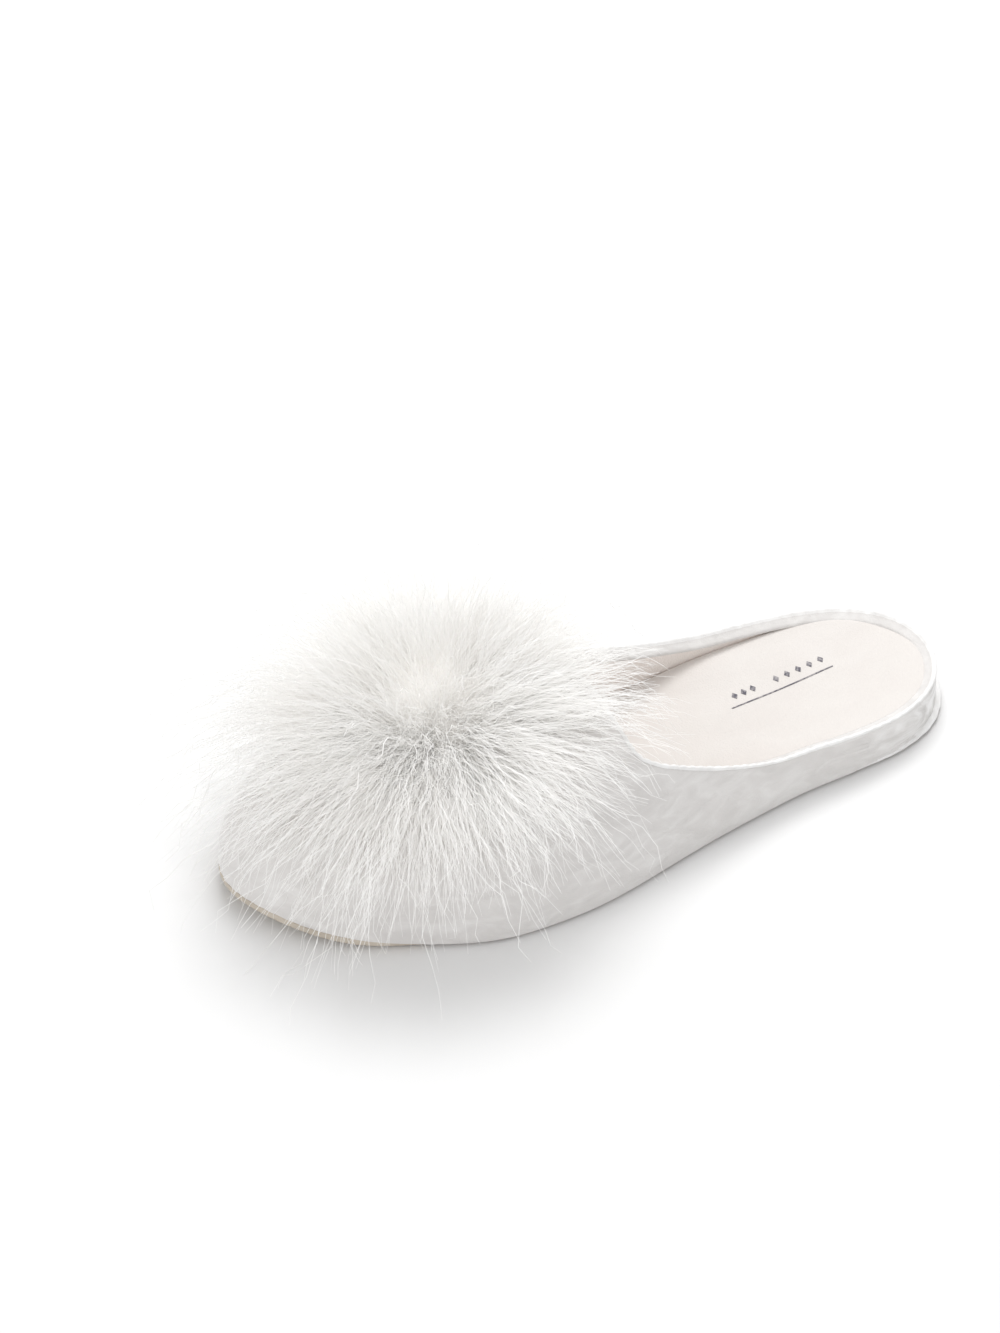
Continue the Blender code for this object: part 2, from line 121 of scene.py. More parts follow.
def periodic_cubic(knots, values, period, at):
    """Smooth closed curve through the values at the knots."""
    count = len(knots)
    step = np.diff(np.append(knots, knots[0] + period))
    slope = (np.roll(values, -1) - values) / step
    system = np.zeros((count, count))
    for i in range(count):
        system[i, i - 1] += step[i - 1]
        system[i, i] += 2 * (step[i - 1] + step[i])
        system[i, (i + 1) % count] += step[i]
    bend = np.linalg.solve(system, 6 * (slope - np.roll(slope, 1)))
    at = np.mod(at - knots[0], period) + knots[0]
    i = np.searchsorted(knots, at, side="right") - 1
    after = (i + 1) % count
    b = (at - knots[i]) / step[i]
    a = 1 - b
    curve = a * values[i] + b * values[after]
    return curve + ((a**3 - a) * bend[i] + (b**3 - b) * bend[after]) * step[i] ** 2 / 6


def smooth_table(rows, at):
    """Smooth open curve through rows of (place, value), level beyond its ends."""
    place, value = np.array(rows).T
    slope = np.gradient(value, place)
    slope[0] = slope[-1] = 0
    at = np.clip(at, place[0], place[-1])
    i = np.clip(np.searchsorted(place, at, side="right") - 1, 0, len(place) - 2)
    step = place[i + 1] - place[i]
    t = (at - place[i]) / step
    curve = (1 + 2 * t) * (1 - t) ** 2 * value[i] + t**2 * (3 - 2 * t) * value[i + 1]
    return curve + (t * (1 - t) ** 2 * slope[i] - t**2 * (1 - t) * slope[i + 1]) * step


def share_at(angle):
    """Share of the length from the heel at an angle round the sole: 0 heel, pi toe."""
    return (1 - np.cos(angle)) / 2


def angle_at(share):
    return np.arccos(np.clip(1 - 2 * np.asarray(share), -1, 1))


def local_width(share):
    t = np.clip((share - WIDENING_FROM) / WIDENING_SHARE, 0, 1)
    return HEEL_WIDTH + (BALL_WIDTH - HEEL_WIDTH) * t * t * (3 - 2 * t)


def outline(angle):
    """Plan point of the sole's edge. Angles under pi run down the outer side."""
    rows = np.array(OUTLINE)
    down = angle_at(rows[:, 0])
    knots = np.append(down, TURN - down[-2:0:-1])
    shares = np.append(rows[:, 1], rows[-2:0:-1, 2])
    share = share_at(angle)
    x = periodic_cubic(knots, shares, TURN, angle) * local_width(share)
    return np.stack([x, SOLE_LENGTH * (0.5 - share)], axis=-1)


def edge(angle, inset):
    """The outline moved inwards by inset."""
    near = 1e-4
    along = outline(angle + near) - outline(angle - near)
    along /= np.linalg.norm(along, axis=-1, keepdims=True)
    inward = np.stack([along[..., 1], -along[..., 0]], axis=-1)
    return outline(angle) + inward * np.asarray(inset)[..., None]


def spine_share(angle):
    return 0.5 + SPINE_REACH * np.tanh((share_at(angle) - 0.5) / SPINE_REACH)


def spine(angle):
    """Plan point under the last's ridge, drawn in from the heel and toe ends."""
    share = spine_share(angle)
    outer = outline(angle_at(share))
    inner = outline(TURN - angle_at(share))
    middle = (outer + inner) / 2
    middle[..., 0] -= RIDGE_SHIFT * (outer[..., 0] - inner[..., 0]) / 2
    return middle


def ridge_height(angle):
    return INSTEP_HEIGHT * smooth_table(RIDGE, spine_share(angle))


def toe_lift(y):
    forward = SOLE_LENGTH / 2 - y - TREAD_LENGTH
    return TOE_SPRING * np.clip(forward / (SOLE_LENGTH - TREAD_LENGTH), 0, 1.2) ** 2


def climb_for(height, angle, inset):
    """How far up the last, 0 at its foot and 1 on its ridge, a height lies."""
    share = np.clip(height / (ridge_height(angle) - inset), 0, 1)
    return np.arcsin(share ** (FULLNESS / 2)) / (math.pi / 2)


def last_point(angle, climb, inset):
    """Point of the last's surface, moved inwards by inset."""
    turn = np.clip(climb, 0, 1) * math.pi / 2
    out = np.cos(turn) ** (2 / FULLNESS)
    up = np.sin(turn) ** (2 / FULLNESS)
    middle = spine(angle)
    plan = middle + (edge(angle, inset) - middle) * out[..., None]
    z = UPPER_FOOT + (ridge_height(angle) - inset) * up + toe_lift(plan[..., 1])
    return np.concatenate([plan, z[..., None]], axis=-1)


def topline_height(share):
    return MM * smooth_table(TOPLINE, share * SOLE_LENGTH / MM)


def topline_climb(angle):
    """The topline: low round the heel, then rising to the ridge at the throat."""
    climb = climb_for(topline_height(share_at(angle)), angle, 0)
    closed = share_at(angle) * SOLE_LENGTH >= THROAT_FROM_HEEL * (1 - 1e-9)
    return np.where(closed, 1.0, climb)


def both_sides(one_side):
    """Angles of one side, heel to toe, followed by those of the other side back."""
    return np.append(one_side, TURN - one_side[-2:0:-1])


def round_sole(columns):
    return both_sides(np.linspace(0, math.pi, columns + 1))


def opening_side(columns):
    """Angles of the opening's one side, heel to throat, closer together at both."""
    turn = np.linspace(0, math.pi, columns + 1)
    return angle_at(THROAT_FROM_HEEL / SOLE_LENGTH * (1 - np.cos(turn)) / 2)


# Mesh helpers


def placed(name, data):
    """A new object in the scene."""
    made = bpy.data.objects.new(name, data)
    bpy.context.scene.collection.objects.link(made)
    return made


def length_of(v):
    """Length of vectors, kept off zero."""
    return np.maximum(np.linalg.norm(v, axis=-1), 1e-9)


def unit(v):
    return v / length_of(v)[..., None]


def ring_faces(rings, columns, closed=False):
    """Quads between rows of a ring grid, round and round."""
    pairs = rings if closed else rings - 1
    row, column = np.meshgrid(np.arange(pairs), np.arange(columns), indexing="ij")
    beside = (column + 1) % columns
    above = (row + 1) % rings
    here, over = row * columns, above * columns
    quads = [here + column, here + beside, over + beside, over + column]
    return [tuple(face) for face in np.stack(quads, axis=-1).reshape(-1, 4).tolist()]


DOUBLES_WITHIN = 0.002 * MM


def sewn_mesh(name, vertices, faces, finishes, face_finish=None, sharp=50):
    """One closed piece with doubles merged, collapsed faces dropped and faces outwards."""
    mesh = bpy.data.meshes.new(name)
    mesh.from_pydata(np.asarray(vertices).tolist(), [], faces)
    for coat in finishes:
        mesh.materials.append(coat)
    if face_finish is not None:
        mesh.polygons.foreach_set("material_index", np.asarray(face_finish, np.int32))
    body = bmesh.new()
    body.from_mesh(mesh)
    bmesh.ops.remove_doubles(body, verts=body.verts, dist=DOUBLES_WITHIN)
    seen = {}
    doubled = []
    for face in body.faces:
        key = tuple(sorted(v.index for v in face.verts))
        if key in seen:
            doubled += [face, seen[key]]
        seen[key] = face
    bmesh.ops.delete(body, geom=list(set(doubled)), context="FACES_ONLY")
    bmesh.ops.recalc_face_normals(body, faces=body.faces)
    body.to_mesh(mesh)
    body.free()
    mesh.shade_smooth()
    mesh.set_sharp_from_angle(angle=math.radians(sharp))
    return placed(name, mesh)


# Node helpers


def add_node(tree, kind, inputs, **settings):
    """A new node with its inputs linked from sockets or set to values."""
    node = tree.nodes.new(kind)
    for label, value in settings.items():
        setattr(node, label, value)
    for label, value in inputs.items():
        if isinstance(value, bpy.types.NodeSocket):
            tree.links.new(value, node.inputs[label])
        else:
            node.inputs[label].default_value = value
    return node


def tree_with(name, labels):
    """A new geometry tree with number inputs and a finish, and the sockets they come in by."""
    tree = bpy.data.node_groups.new(name, "GeometryNodeTree")
    kinds = {"Geometry": "NodeSocketGeometry"}
    kinds.update(dict.fromkeys(labels, "NodeSocketFloat"), Finish="NodeSocketMaterial")
    for label, kind in kinds.items():
        tree.interface.new_socket(label, in_out="INPUT", socket_type=kind)
    tree.interface.new_socket("Geometry", in_out="OUTPUT", socket_type="NodeSocketGeometry")
    return tree, tree.nodes.new("NodeGroupInput").outputs


def finish_tree(tree, given, geometry):
    """Ends a tree: instances made real, finish set, result given out."""
    real = add_node(tree, "GeometryNodeRealizeInstances", {"Geometry": geometry})
    inputs = {"Geometry": real.outputs["Geometry"], "Material": given["Finish"]}
    coat = add_node(tree, "GeometryNodeSetMaterial", inputs)
    add_node(tree, "NodeGroupOutput", {"Geometry": coat.outputs["Geometry"]})


def evaluated(name, mesh, tree, inputs):
    """The plain mesh object that a tree makes from a mesh."""
    source = placed(name + "_source", mesh)
    modifier = source.modifiers.new("Grown", "NODES")
    modifier.node_group = tree
    for item in tree.interface.items_tree:
        if item.item_type == "SOCKET" and item.in_out == "INPUT" and item.name in inputs:
            modifier[item.identifier] = inputs[item.name]
    bpy.context.view_layer.update()
    graph = bpy.context.evaluated_depsgraph_get()
    made = bpy.data.meshes.new_from_object(source.evaluated_get(graph))
    made.name = name
    bpy.data.objects.remove(source)
    return placed(name, made)


# Finishes


def finish(name, colour, roughness, sheen=0.0, sheen_roughness=0.5, specular=0.5):
    """A new material with its shader's plain values set, its node tree and its shader."""
    made = bpy.data.materials.new(name)
    made.use_nodes = True
    shader = made.node_tree.nodes["Principled BSDF"]
    shader.inputs["Base Color"].default_value = (*colour, 1)
    shader.inputs["Roughness"].default_value = roughness
    shader.inputs["Sheen Weight"].default_value = sheen
    shader.inputs["Sheen Roughness"].default_value = sheen_roughness
    shader.inputs["Specular IOR Level"].default_value = specular
    return made, made.node_tree, shader


def object_noise(tree, scale, detail=3, stretch=(1, 1, 1), distortion=0.0):
    place = tree.nodes.new("ShaderNodeTexCoord").outputs["Object"]
    mapping = add_node(tree, "ShaderNodeMapping", {"Vector": place, "Scale": stretch})
    inputs = {"Scale": scale, "Detail": detail, "Distortion": distortion}
    inputs["Vector"] = mapping.outputs["Vector"]
    return add_node(tree, "ShaderNodeTexNoise", inputs).outputs["Fac"]


def ramp(tree, source, stops):
    """Colours along a value: stops of (place, colour)."""
    made = add_node(tree, "ShaderNodeValToRGB", {"Fac": source})
    elements = made.color_ramp.elements
    while len(elements) < len(stops):
        elements.new(0.5)
    for element, (place, colour) in zip(elements, stops):
        element.position = place
        element.color = (*colour, 1)
    return made.outputs["Color"]


def add_bumps(tree, shader, layers):
    """Stacks bumps: (height socket, depth in millimetres)."""
    inputs = {}
    for height, depth in layers:
        inputs.update({"Height": height, "Distance": depth * MM})
        inputs["Normal"] = add_node(tree, "ShaderNodeBump", inputs).outputs["Normal"]
    tree.links.new(inputs["Normal"], shader.inputs["Normal"])


# Crushed velvet: tones along the nap where it lies calm and where it is crushed at the back of the heel,
# whose light tones there are partly painted highlights, and the stretch along Y over which the one passes
# into the other
CALM_TONES = ((0.32, (0.71, 0.69, 0.675)), (0.52, (0.75, 0.73, 0.715)), (0.74, (0.82, 0.805, 0.79)))
CRUSHED_HIGHLIT_TONES = (
    (0.34, (0.64, 0.625, 0.61)), (0.47, (0.76, 0.745, 0.73)),
    (0.56, (0.90, 0.89, 0.88)), (0.64, (0.98, 0.975, 0.97)),
)
NAP_GLOSS = ((0.35, (0.8, 0.8, 0.8)), (0.70, (0.45, 0.45, 0.45)))
CALM_BEFORE_Y = 78 * MM
CRUSHED_HIGHLIT_BEYOND_Y = 116 * MM


def crushed_velvet():
    """Velvet that lies calm along the sides and is crushed at the back of the heel, with painted
    highlights in the crushed nap's light tones.
    """
    made, tree, shader = finish("crushed_velvet", (0.66, 0.645, 0.63), 0.62, 0.55, 0.35, 0.35)
    nap = object_noise(tree, 95, 4, (1, 0.7, 1.5), 1.2)
    place = tree.nodes.new("ShaderNodeTexCoord").outputs["Object"]
    parts = add_node(tree, "ShaderNodeSeparateXYZ", {"Vector": place})
    inputs = {"Value": parts.outputs["Y"], "From Min": CALM_BEFORE_Y, "From Max": CRUSHED_HIGHLIT_BEYOND_Y}
    heel = add_node(tree, "ShaderNodeMapRange", inputs).outputs["Result"]
    # Towards the heel the crushed tones take over, lighter there partly as painted highlight
    calm, crushed = (ramp(tree, nap, tones) for tones in (CALM_TONES, CRUSHED_HIGHLIT_TONES))
    mixed = add_node(tree, "ShaderNodeMixRGB", {"Fac": heel, "Color1": calm, "Color2": crushed})
    tree.links.new(mixed.outputs["Color"], shader.inputs["Base Color"])
    tree.links.new(ramp(tree, nap, NAP_GLOSS), shader.inputs["Roughness"])
    crush = object_noise(tree, 240, 3, (1, 0.8, 1.4), 0.8)
    pile = object_noise(tree, 2600, 2)
    add_bumps(tree, shader, ((nap, 0.7), (crush, 0.25), (pile, 0.12)))
    return made


# Two-tone finishes: coat (roughness, sheen, its roughness, specular), noise between the
# tones, places of dark and light along it, depth of its bump in millimetres, and the
# grain's noise and depth
VELVET = ((0.55, 0.5, 0.3, 0.4), (160, 3, (1, 1, 1), 0.6), (0.32, 0.66), 0.4, (2600, 2), 0.1)
VELOUR = ((0.9, 0.35, 0.5, 0.2), (70, 3, (1, 0.6, 1), 0.5), (0.3, 0.6), 0.4, (1700, 3), 0.15)
RUBBER = ((0.8,), (60, 4), (0.3, 0.7), 0, (1800, 2), 0.15)
FEATHER = ((0.5, 0.3, 0.4, 0.4), (40, 2), (0.3, 0.6), 0, (), 0)
INK = ((0.7,), (900, 3), (0.40, 0.62), 0, (), 0)


def two_tone(name, kind, dark, light):
    """A finish that goes from dark to light by object noise."""
    coat, noise, places, depth, grain, grain_depth = kind
    made, tree, shader = finish(name, light, *coat)
    tone = object_noise(tree, *noise)
    stops = tuple(zip(places, (dark, light)))
    tree.links.new(ramp(tree, tone, stops), shader.inputs["Base Color"])
    bumps = [(tone, depth)] if depth else []
    if grain:
        bumps.append((object_noise(tree, *grain), grain_depth))
        add_bumps(tree, shader, bumps)
    return made


# The velvet shell


# Soft dents and swells of the velvet wall, one by one: angle round the sole in degrees,
# share of the wall's height, half length and half height in millimetres, depth in
# millimetres (a swell is negative) and slant of the long side
WALL_CREASES = (
    (24, 0.55, 9, 3.2, 0.55, 0.5),
    (33, 0.35, 8, 2.6, -0.40, -0.4),
    (42, 0.65, 12, 3.0, 0.45, 0.3),
    (55, 0.40, 16, 3.4, 0.40, -0.3),
    (70, 0.55, 20, 4.5, -0.35, 0.2),
    (86, 0.30, 22, 4.0, 0.45, 0.15),
    (112, 0.35, 18, 5.0, -0.40, -0.2),
    (335, 0.50, 10, 3.0, 0.50, -0.5),
    (322, 0.45, 12, 3.0, -0.40, 0.4),
    (300, 0.50, 18, 4.0, 0.45, 0.2),
    (268, 0.35, 20, 4.5, 0.40, -0.15),
    (240, 0.40, 18, 5.0, -0.35, 0.2),
)
CREASES_BELOW = 26 * MM
CREASE_SPREAD = 60 * MM

# Gathers where the velvet is drawn under at the heel and the toe
GATHER_HEIGHT = 7 * MM
GATHER_DEPTH = 0.28 * MM
GATHER_PITCH = 5.2 * MM
GATHER_WANDER = 1.1 * MM
GATHER_WANDER_LENGTH = 9 * MM
ROUND_STEPS = 720


def velvet_relief(angle, climb):
    """How far the velvet stands proud of the last, from its creases and its gathers."""
    place = last_point(angle, climb, 0)
    proud = np.zeros(climb.shape)
    for at, share, half_length, half_height, depth, slant in WALL_CREASES:
        centre_angle = np.array([math.radians(at)])
        height = share * np.minimum(topline_height(share_at(centre_angle)), CREASES_BELOW)
        centre = last_point(centre_angle, climb_for(height, centre_angle, 0), 0)[0]
        near = outline(centre_angle + 0.01)[0] - outline(centre_angle - 0.01)[0]
        near /= np.linalg.norm(near)
        along = (place[..., :2] - centre[:2]) @ near
        up = place[..., 2] - centre[2] - slant * along
        across = np.linalg.norm(place[..., :2] - centre[:2], axis=-1)
        bump = np.exp(-((along / (half_length * MM)) ** 2) - (up / (half_height * MM)) ** 2)
        proud -= depth * MM * bump * (across < CREASE_SPREAD)
    turn_round = np.linspace(0, TURN, ROUND_STEPS + 1)
    length_round = np.cumsum(np.linalg.norm(np.diff(outline(turn_round), axis=0), axis=1))
    run = np.interp(np.mod(angle, TURN), turn_round, np.append(0, length_round))
    ends = np.clip(np.abs(share_at(angle) - 0.5) * 2.4 - 0.75, 0, 1)
    low = np.exp(-((place[..., 2] - UPPER_FOOT - toe_lift(place[..., 1])) / GATHER_HEIGHT) ** 2)
    wobble = run + GATHER_WANDER * np.sin(run / GATHER_WANDER_LENGTH)
    proud += GATHER_DEPTH * ends * low * np.sin(TURN * wobble / GATHER_PITCH)
    return proud


# Grid of the shell: columns on each side, the column of the throat, and levels
SHELL_COLUMNS = 150
SHELL_THROAT = 84
SHELL_LEVELS = 44
SOLE_COLUMNS = 120


def shell_grid():
    """Angle and climb of each vertex of the shell, level by level."""
    foot = np.linspace(0, math.pi, SHELL_COLUMNS + 1)
    opening = opening_side(SHELL_THROAT)
    closed = np.linspace(opening[-1], math.pi, SHELL_COLUMNS - SHELL_THROAT + 1)
    top = np.append(opening, closed[1:])
    climb = topline_climb(top)
    climb = np.append(climb, climb[-2:0:-1])
    for level in range(SHELL_LEVELS + 1):
        t = level / SHELL_LEVELS
        yield both_sides(foot + (top - foot) * t), climb * t


# The hem: the velvet goes on over the sole's side, except at the toe, and swells a little
# round the back of the heel
HEM_DEPTH = 1.65 * MM
HEM_ENDS = (0.80, 0.90)
HEM_ROWS = (1, 0.8, 0.6, 0.4, 0.2)
HEM_SWELL = 1.8 * MM
HEM_SWELL_SHARE = 0.13
HEM_SWELL_START = 0.15
HEM_SWELL_TURN = 0.62 * math.pi
# Shares of the length from the heel, row by row down the hem, that carry the painted highlight velvet
HEM_HIGHLIGHT_SHARES = (0.16, 0.15, 0.13, 0.10, 0.07)


def hem_ring(angles, down):
    """Ring of the hem, from the wall's foot (0) to its lower edge (1)."""
    share = share_at(angles)
    ends = np.clip((HEM_ENDS[1] - share) / (HEM_ENDS[1] - HEM_ENDS[0]), 0, 1)
    swell = HEM_SWELL * np.exp(-((share / HEM_SWELL_SHARE) ** 2))
    swell = swell * math.sin(HEM_SWELL_TURN * min(1, HEM_SWELL_START + down))
    plan = edge(angles, -swell - velvet_relief(angles, np.zeros(len(angles))))
    height = UPPER_FOOT + toe_lift(plan[:, 1]) - HEM_DEPTH * ends * down
    return np.column_stack([plan, height])


def velvet_upper(velvet, lining, hem_highlight_velvet):
    """The hollow shell: velvet outside, a lighter velvet as painted highlight on the swell round the
    heel's hem, lining inside.
    """
    foot = round_sole(SHELL_COLUMNS)
    outer = [hem_ring(foot, down) for down in HEM_ROWS]
    inner = []
    for angle, climb in shell_grid():
        outer.append(last_point(angle, climb, -velvet_relief(angle, climb)))
        inner.append(last_point(angle, climb, UPPER_WALL))
    count = len(outer[0])
    faces = ring_faces(len(outer), count)
    finish_index = [0] * len(faces)
    # The hem round the heel takes the lighter velvet: painted highlight
    for row, share in enumerate(HEM_HIGHLIGHT_SHARES):
        for c in np.flatnonzero(share_at(foot) < share):
            finish_index[row * count + c] = 2
    inside = len(outer) * count
    inner_faces = ring_faces(len(inner), count)
    faces += [tuple(i + inside for i in reversed(face)) for face in inner_faces]
    finish_index += [1] * len(inner_faces)
    rim = inside - count
    inner_rim = inside + (len(inner) - 1) * count
    for c in range(count):
        d = (c + 1) % count
        faces.append((c, inside + c, inside + d, d))
        finish_index.append(1)
        if max(min(c, count - c), min(d, count - d)) <= SHELL_THROAT:
            faces.append((rim + c, rim + d, inner_rim + d, inner_rim + c))
            finish_index.append(0)
    finishes = [velvet, lining, hem_highlight_velvet]
    return sewn_mesh("velvet_upper", np.vstack(outer + inner), faces, finishes, finish_index)


# The rim's section in millimetres, outwards and up from the middle of the wall's edge: a band that slopes
# in towards the footbed, and a thin crest along the outer edge, which carries a lighter velvet as a
# painted highlight
RIM_BAND = ((-2.3, -1.0), (-2.7, -0.3), (-2.5, 0.2), (-1.7, 0.5), (-0.6, 0.75), (0.5, 1.0))
RIM_CREST = ((0.95, 1.3), (1.35, 1.55), (1.8, 1.5), (2.1, 1.2), (2.15, 0.8), (1.9, 0.45), (1.55, 0.2))
RIM_FOOT = (1.3, -0.9)
RIM_HEIGHT = 1.6 * MM
RIM_COLUMNS = 220
PUCKER_PITCH = 3.6 * MM
PUCKER_WANDER = 8.3 * MM


def topline_rim(crest_highlight_velvet, band_velvet):
    """The padded rim round the opening, slightly puckered where it is sewn, its crest in a lighter velvet
    as a painted highlight.
    """
    half = opening_side(RIM_COLUMNS)
    climb = topline_climb(half)
    angles = both_sides(half)
    climb = np.append(climb, climb[-2:0:-1])
    outside = last_point(angles, climb, 0)
    inside = last_point(angles, climb, UPPER_WALL)
    centre = (outside + inside) / 2
    across = unit(outside - inside)
    along = unit(np.roll(centre, -1, axis=0) - np.roll(centre, 1, axis=0))
    away = unit(np.cross(along, across))
    away *= np.sign(away[0, 2])
    run = np.append(0, np.cumsum(np.linalg.norm(np.diff(centre, axis=0), axis=1)))
    pucker = 0.10 * np.sin(TURN * run / PUCKER_PITCH) + 0.08 * np.sin(run / PUCKER_WANDER)
    section = (*RIM_BAND, *RIM_CREST, RIM_FOOT)
    first_crest, last_crest = len(RIM_BAND) - 1, len(RIM_BAND) + len(RIM_CREST) - 1
    rings = []
    finish_index = []
    for row, (out, up) in enumerate(section):
        crested = first_crest <= row < last_crest
        swell = 1 + pucker * (1.0 if crested else 0.3)
        rings.append(centre + across * out * MM + away * (up * MM * swell)[:, None])
        finish_index += [0 if crested else 1] * len(centre)
    faces = ring_faces(len(rings), len(centre), closed=True)
    return sewn_mesh("topline_rim", np.vstack(rings), faces, [crest_highlight_velvet, band_velvet], finish_index)


# The footbed


FOOTBED_GAP = 0.1 * MM
FOOTBED_EDGE = 1.3 * MM
FOOTBED_DISH = 0.9 * MM


def footbed_thickness(y):
    return FOOTBED_HEEL * smooth_table(FOOTBED_PROFILE, 0.5 - y / SOLE_LENGTH)


def footbed_height(x, y):
    """Height of the footbed's top away from its edge, with its soft unevenness."""
    across, along = x / MM, y / MM
    wave = 0.22 * np.sin(across / 7.1 + 0.6) * np.sin(along / 16 + 0.4)
    wave = wave + 0.16 * np.sin(across / 3.9 - along / 11)
    wave = wave + 0.14 * np.sin(along / 6.3 + across / 12)
    return UPPER_FOOT + footbed_thickness(y) + toe_lift(y) + wave * MM


def footbed(velour):
    """The padded insole: a cushion crowned at its edge, with a slight dish for the heel."""
    angles = round_sole(SOLE_COLUMNS)
    middle = spine(angles)
    inset = UPPER_WALL + FOOTBED_GAP
    height = footbed_thickness(outline(angles)[:, 1])

    def wall(share):
        return last_point(angles, climb_for((height - FOOTBED_EDGE) * share, angles, inset), inset)

    foot = wall(0)
    top = wall(1)
    inward = unit(middle - top[:, :2])
    rings = []
    for share in (0, 0.5):
        plan = middle + (foot[:, :2] - middle) * share
        rings.append(np.column_stack([plan, UPPER_FOOT + toe_lift(plan[:, 1])]))
    rings += [foot, wall(0.5), top]
    for k in range(1, 8):
        a = k / 8 * math.pi / 2
        plan = top[:, :2] + inward * FOOTBED_EDGE * (1 - math.cos(a))
        rise = footbed_height(plan[:, 0], plan[:, 1]) - top[:, 2]
        rings.append(np.column_stack([plan, top[:, 2] + rise * math.sin(a)]))
    start = top[:, :2] + inward * FOOTBED_EDGE
    for share in np.linspace(1, 0, 26):
        plan = middle + (start - middle) * share
        dish = FOOTBED_DISH * (1 - share**2)
        rings.append(np.column_stack([plan, footbed_height(plan[:, 0], plan[:, 1]) - dish]))
    return sewn_mesh("footbed", np.vstack(rings), ring_faces(len(rings), len(angles)), [velour])


# The print: a rule and a row of lozenges beside it, lozenge corners in millimetres and
# their places as shares of the rule's length
PRINT_LINE_X = -3.4 * MM
PRINT_ROW_X = -8.0 * MM
PRINT_START_Y = 53 * MM
PRINT_END_Y = 90.7 * MM
PRINT_SLANT = math.radians(5)
PRINT_SINK = 0.75 * MM
PRINT_BELOW = -0.15 * MM
PRINT_PROUD = 0.05 * MM
LOZENGE = ((1.5, 0), (0, 1.05), (-1.5, 0), (0, -1.05))
LOZENGE_PLACES = (0.10, 0.19, 0.28, 0.51, 0.62, 0.73, 0.84, 0.95)
RULE_WIDTH = 0.4 * MM
RULE_STEPS = 24


def footbed_mark(ink):
    """A plain row of small printed lozenges over a thin rule, in place of any lettering."""
    span = PRINT_END_Y - PRINT_START_Y
    patches = []
    for place in LOZENGE_PLACES:
        y = PRINT_START_Y + span * place
        patches.append([(PRINT_ROW_X + a * MM, y + b * MM) for a, b in LOZENGE])
    left, right = PRINT_LINE_X - RULE_WIDTH / 2, PRINT_LINE_X + RULE_WIDTH / 2
    for k in range(RULE_STEPS):
        low = PRINT_START_Y + span * k / RULE_STEPS
        high = PRINT_START_Y + span * (k + 1.02) / RULE_STEPS
        patches.append([(left, low), (right, low), (right, high), (left, high)])
    slant = Matrix.Rotation(PRINT_SLANT, 2)
    pivot = Vector((PRINT_LINE_X, PRINT_START_Y))
    vertices = []
    faces = []
    for patch in patches:
        base, count = len(vertices), len(patch)
        for lift in (PRINT_BELOW, PRINT_PROUD):
            for corner in patch:
                x, y = pivot + slant @ (Vector(corner) - pivot)
                vertices.append((x, y, footbed_height(x, y) - PRINT_SINK + lift))
        faces.append(tuple(base + i for i in reversed(range(count))))
        faces.append(tuple(base + count + i for i in range(count)))
        for i in range(count):
            j = (i + 1) % count
            faces.append((base + i, base + j, base + count + j, base + count + i))
    return sewn_mesh("footbed_mark", vertices, faces, [ink], sharp=20)


# The sole


SOLE_TUCK = 1.0 * MM
SOLE_MARGIN = 0.90
SOLE_EDGE = 0.6 * MM
SOLE_SEAM = 0.2 * MM
SIDE_RINGS_FROM = 6
STUD_PITCH = 5 * MM
STUD_HEIGHT = 0.6 * MM
STUD_RADIUS = 1.5 * MM
STUD_TAPER = 0.7
STUD_SIDES = 8
STUD_ROOT = 0.1 * MM
STUDS_BETWEEN = (0.07, 0.93)
STUDS_INSIDE = SOLE_MARGIN - 0.03


def tread_sole(rubber, shaded):
    """The thin tread sheet: tucked in under the velvet's hem, flush at the toe, its side under the hem in
    a darker copy of the rubber as painted shade.
    """
    angles = round_sole(SOLE_COLUMNS)
    middle = spine(angles)
    toe = np.clip((share_at(angles) - HEM_ENDS[0]) / (HEM_ENDS[1] - HEM_ENDS[0]), 0, 1)
    tuck = SOLE_TUCK * (1 - toe)

    def ring(inset, share, height):
        plan = middle + (edge(angles, tuck + inset) - middle) * share
        return np.column_stack([plan, toe_lift(plan[:, 1]) + height])

    recess = STUD_HEIGHT - STUD_ROOT
    rings = [ring(SOLE_EDGE, share, recess) for share in (0, 0.25, 0.5, 0.75, SOLE_MARGIN)]
    rings += [ring(SOLE_EDGE, share, 0) for share in (SOLE_MARGIN + 0.01, 1)]
    for k in range(1, 5):
        a = k / 4 * math.pi / 2
        rings.append(ring(SOLE_EDGE * (1 - math.sin(a)), 1, SOLE_EDGE * (1 - math.cos(a))))
    rings.append(ring(0, 1, SOLE_THICKNESS - SOLE_SEAM))
    rings += [ring(SOLE_SEAM, share, SOLE_THICKNESS) for share in (1, 0.7, 0.35, 0)]
    finish_index = np.zeros((len(rings) - 1, len(angles)), int)
    # Behind the toe the sole's side and top take the darker rubber: painted shade in the gap under the
    # hem
    finish_index[SIDE_RINGS_FROM:, share_at(angles) < HEM_ENDS[0]] = 1
    faces = ring_faces(len(rings), len(angles))
    return sewn_mesh("tread_sole", np.vstack(rings), faces, [rubber, shaded], finish_index.ravel())


